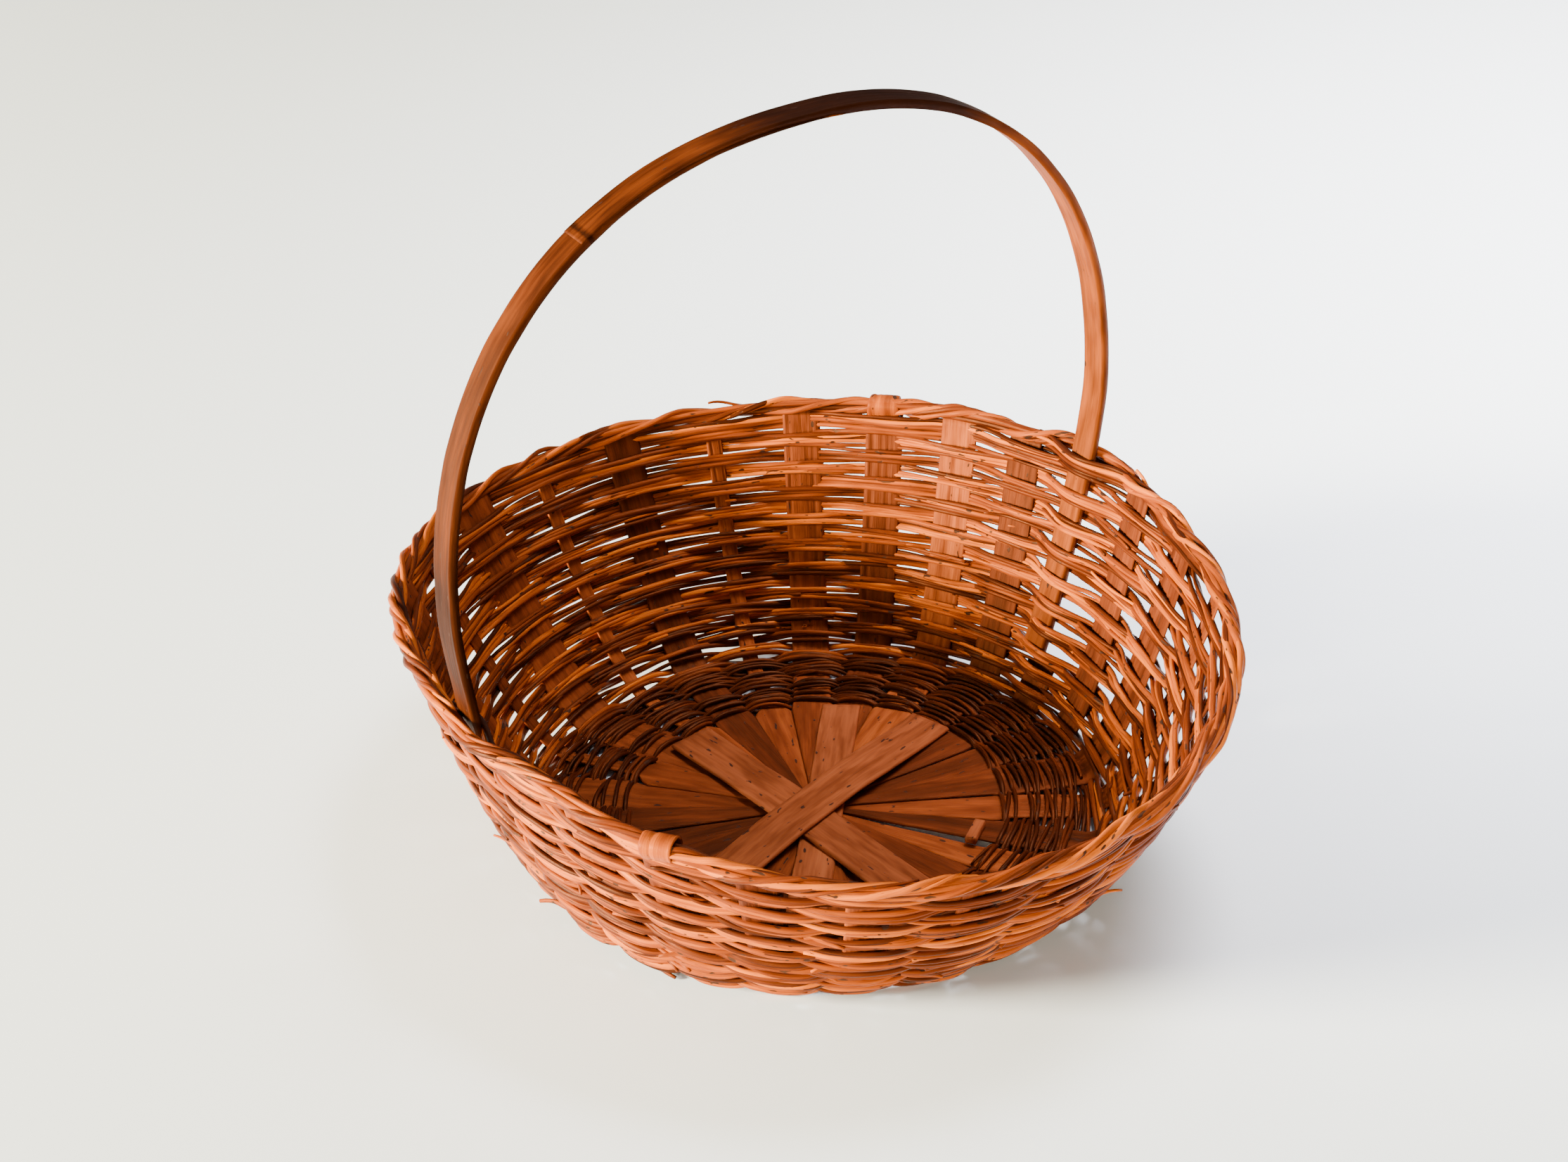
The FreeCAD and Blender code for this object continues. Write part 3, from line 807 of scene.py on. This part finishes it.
def make_cleat(materials, rng):
    """A short stick laid across two loose spokes at the edge of the base."""
    turn = math.radians(-54.0)
    radial = np.array([math.cos(turn), math.sin(turn), 0.0])
    side = np.array([-math.sin(turn), math.cos(turn), 0.0])
    place = np.linspace(-8.0, 8.0, 12)
    line = 84.0 * radial[None, :] + place[:, None] * side[None, :]
    line[:, 2] = SPOKE_MID_Z + SPLINT_THICK / 2.0 + 2.0
    across = np.tile(radial, (len(place), 1))
    widths = np.full(len(place), 6.0)
    thicknesses = np.full(len(place), 3.8)
    cleat = Batch()
    add_strip(cleat, rng, line, across, widths, thicknesses, 0, 0.0, 0.6, 0.3)
    cleat.piece("cleat_on_spokes", materials["board"], "splint", "base_cleat")


# ================================================================ the handle

def handle_line(index, last_turn):
    """(x, z) of the leg at one stake, and on along the arch up to a turn of it."""
    angle = stake_angle(index)
    join_z = rim_height(angle) - HANDLE_JOIN_DROP
    line = []
    for height in np.linspace(HANDLE_FOOT_Z, join_z, 16):
        share = (height - SPOKE_MID_Z) / (rim_height(angle) - SPOKE_MID_Z)
        line.append((float(wall_rz(angle, share)[0]) * abs(math.cos(angle)) - HANDLE_INSET, height))
    spread = HANDLE_REACH - line[-1][0]
    for way in np.linspace(0.0, 1.0, 14)[1:-1]:
        inward = spread * (1.0 - way) ** HANDLE_LEG_BEND
        line.append((HANDLE_REACH - inward, join_z + (HANDLE_SHOULDER_Z - join_z) * way))
    for turn in np.linspace(0.0, last_turn, 90):
        reach = math.copysign(abs(math.cos(turn)) ** HANDLE_SQUARENESS, math.cos(turn))
        rise = math.sin(turn) ** HANDLE_SQUARENESS
        line.append((HANDLE_REACH * reach, HANDLE_SHOULDER_Z + HANDLE_RISE * rise))
    return np.array(line)


def smooth_handle_line(index, last_turn):
    """The same line at even distances and with its bends eased, as x, z and distance along."""
    line = handle_line(index, last_turn)
    along = distance_along(line)
    even = np.linspace(0.0, along[-1], HANDLE_SAMPLES)
    x = np.interp(even, along, line[:, 0])
    z = np.interp(even, along, line[:, 1])
    for _ in range(HANDLE_SMOOTHINGS):
        x[1:-1] = (x[:-2] + x[1:-1] * 2.0 + x[2:]) / 4.0
        z[1:-1] = (z[:-2] + z[1:-1] * 2.0 + z[2:]) / 4.0
    return x, z, even


def handle_tone(rng, on_plus_x, turn, z, even):
    """Lighter on the +X length, dark over the crown, with painted shade in the crack where the +X length's
    thin end meets the other, and a pale chip at the other length's thin end.
    """
    crown = smooth_step((1.95 - turn) / 0.52) * smooth_step((turn - 0.78) / 0.35)
    high = smooth_step((z - HANDLE_SHOULDER_Z) / (0.7 * HANDLE_RISE))
    right = 0.35 + 0.65 * smooth_step((1.4 - turn) / 0.6)
    tone = (right if on_plus_x else 0.45 * high - 0.1) * (1.0 - crown) - 0.35 * crown
    tone = tone + wander(rng, even, 0.12, 90.0)
    # painted shade: a dark line in the scarf's crack, where shade falls in the joint
    painted_seam_shade = np.exp(-((turn - SCARF_END) / 0.004) ** 2)
    tone = tone - 1.2 * painted_seam_shade
    if not on_plus_x:
        pale_end = np.exp(-((turn - SCARF_START) / 0.025) ** 2)
        tone = tone + 1.8 * pale_end
    return tone


def make_handle(materials):
    """Two bent lengths; the one on +X keeps the outer face through the scarf, the other the inner.

    Both are worked out as if they stood on +X, and the other is then mirrored.
    """
    rng = np.random.default_rng(8)
    half = HANDLE_THICK / 2.0
    deepest = half - SCARF_EDGE
    lean_size = math.hypot(1.0, HANDLE_LEAN)
    base_y = HANDLE_Y - HANDLE_LEAN * HANDLE_LEAN_Z
    for on_plus_x in (True, False):
        last_turn = SCARF_END if on_plus_x else math.pi - SCARF_START
        x, z, even = smooth_handle_line(HANDLE_STAKES[0 if on_plus_x else 1], last_turn)
        own_turn = np.arctan2((z - HANDLE_SHOULDER_Z) / HANDLE_RISE, x / HANDLE_REACH)
        turn = own_turn if on_plus_x else math.pi - own_turn
        way = np.clip((turn - SCARF_START) / (SCARF_END - SCARF_START), 0.0, 1.0)
        surface = deepest - 2.0 * deepest * way
        past_start = (turn > SCARF_START) if on_plus_x else (turn < SCARF_END)
        in_scarf = past_start & (z > HANDLE_SHOULDER_Z)
        inner = np.full_like(x, half)
        outer = np.full_like(x, -half)
        if on_plus_x:
            inner = np.where(in_scarf, surface, inner)
        else:
            outer = np.where(in_scarf, surface + SCARF_GAP, outer)
        tangent = unit(np.stack([np.gradient(x), np.gradient(z)], axis=-1))
        inward = np.stack([-tangent[:, 1], tangent[:, 0]], axis=-1)
        shift = (inner + outer) / 2.0
        x = x + inward[:, 0] * shift
        z = z + inward[:, 1] * shift
        mirror = 1.0 if on_plus_x else -1.0
        line = np.stack([mirror * x, base_y + z * HANDLE_LEAN / lean_size, z / lean_size], axis=-1)
        side = np.array([0.0, 1.0 / lean_size, -HANDLE_LEAN / lean_size])
        across = np.tile(side * -mirror, (len(x), 1))
        width = HANDLE_WIDTH + wander(rng, even, 0.35, 200.0)
        tone = handle_tone(rng, on_plus_x, turn, z, even)
        batch = Batch()
        add_strip(batch, rng, line, across, width, inner - outer, 3, 0.12, tone, 0.16)
        name = "right" if on_plus_x else "left"
        batch.piece("bent_handle_" + name, materials["handle"], "bentwood", "handle_length_" + name)


# ================================================================ floor, light and camera

def make_camera():
    cos_e = math.cos(CAMERA_ELEVATION)
    back = Vector((math.sin(CAMERA_AZIMUTH) * cos_e, -math.cos(CAMERA_AZIMUTH) * cos_e,
                   math.sin(CAMERA_ELEVATION)))
    right = (-back).cross(Vector((0.0, 0.0, 1.0))).normalized()
    up = right.cross(-back)
    cos_r = math.cos(CAMERA_ROLL)
    sin_r = math.sin(CAMERA_ROLL)
    rolled_right = right * cos_r + up * sin_r
    rolled_up = up * cos_r - right * sin_r
    data = bpy.data.cameras.new("camera")
    data.lens = CAMERA_LENS
    data.sensor_width = CAMERA_SENSOR
    camera = bpy.data.objects.new("camera", data)
    bpy.context.scene.collection.objects.link(camera)
    turn = Matrix((rolled_right, rolled_up, back)).transposed().to_4x4()
    camera.matrix_world = Matrix.Translation(CAMERA_TARGET + back * CAMERA_DISTANCE) @ turn
    bpy.context.scene.camera = camera


def area_light(name, size, energy, colour):
    """A round light that shines straight down until it is turned."""
    data = bpy.data.lights.new(name, "AREA")
    data.shape = "DISK"
    data.size = size
    data.energy = energy
    data.color = colour
    light = bpy.data.objects.new(name, data)
    bpy.context.scene.collection.objects.link(light)
    return light


def aim_from(light, plan_angle, elevation, distance):
    """Put a light at two angles, in degrees, and a distance from the basket, and turn it to it."""
    plan = math.radians(plan_angle)
    high = math.radians(elevation)
    way = Vector((math.cos(plan) * math.cos(high), math.sin(plan) * math.cos(high), math.sin(high)))
    light.location = LIGHT_TARGET + way * distance
    light.rotation_euler = way.to_track_quat("Z", "Y").to_euler()


def make_lights():
    """A low warm key from the left, a weaker one from the front left, and a cool wash on the right."""
    world = bpy.data.worlds.new("studio")
    world.use_nodes = True
    background = world.node_tree.nodes["Background"]
    background.inputs["Color"].default_value = (1.0, 1.0, 1.0, 1.0)
    background.inputs["Strength"].default_value = WORLD_STRENGTH
    bpy.context.scene.world = world
    aim_from(area_light("key", 1.15, 1320.0, WARM_LIGHT), 160.0, 14.5, 4.0)
    aim_from(area_light("fill", 1.0, 265.0, WARM_LIGHT), -143.0, 8.0, 4.0)
    wash = area_light("wash", 1.2, 36.0, COOL_LIGHT)
    wash.location = WASH_PLACE
    wash.data.spread = WASH_SPREAD


def make_floor():
    material, _, shader = new_material("pale_floor")
    shader.inputs["Base Color"].default_value = FLOOR_COLOUR
    shader.inputs["Roughness"].default_value = FLOOR_ROUGHNESS
    mesh = bpy.data.meshes.new("floor")
    half = FLOOR_HALF
    corners = [(-half, -half, 0.0), (half, -half, 0.0), (half, half, 0.0), (-half, half, 0.0)]
    mesh.from_pydata(corners, [], [(0, 1, 2, 3)])
    mesh.materials.append(material)
    floor = bpy.data.objects.new("floor", mesh)
    bpy.context.scene.collection.objects.link(floor)


make_camera()
make_lights()
make_floor()
wood = make_materials()
make_weave(wood)
make_base_weave(wood)
make_border(wood)
make_splints(wood)
make_braces(wood)
make_handle(wood)
